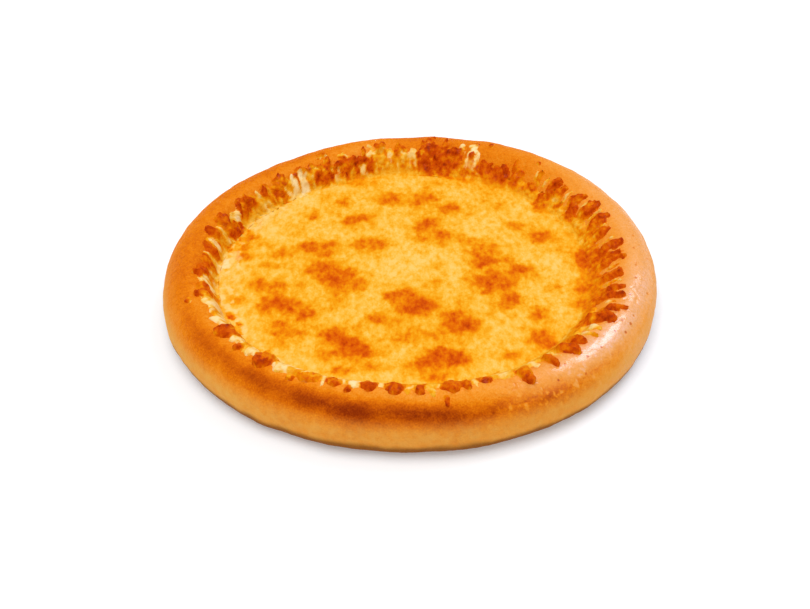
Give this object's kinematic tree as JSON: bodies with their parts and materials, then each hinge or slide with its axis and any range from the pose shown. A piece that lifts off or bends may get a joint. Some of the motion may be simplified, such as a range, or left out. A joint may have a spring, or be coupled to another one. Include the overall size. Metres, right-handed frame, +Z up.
{
  "type": "cheese pizza",
  "caption": "Round baked cheese pizza with a thick rolled dough rim and a melted cheese layer browned into crags where it climbs the rim.",
  "frame": {"origin": "centre of the flat underside, on the surface that the pizza lies on", "axes": "+Z up, out of the cheese; +Y away from the viewer of the picture; +X to their right"},
  "size_m": [0.2797, 0.2797, 0.0352],
  "materials": {
    "baked_dough": "satin",
    "melted_cheese": "satin"
  },
  "bodies": {
    "root": {"dough": "baked_dough", "cheese": "melted_cheese"}
  },
  "joints": []
}
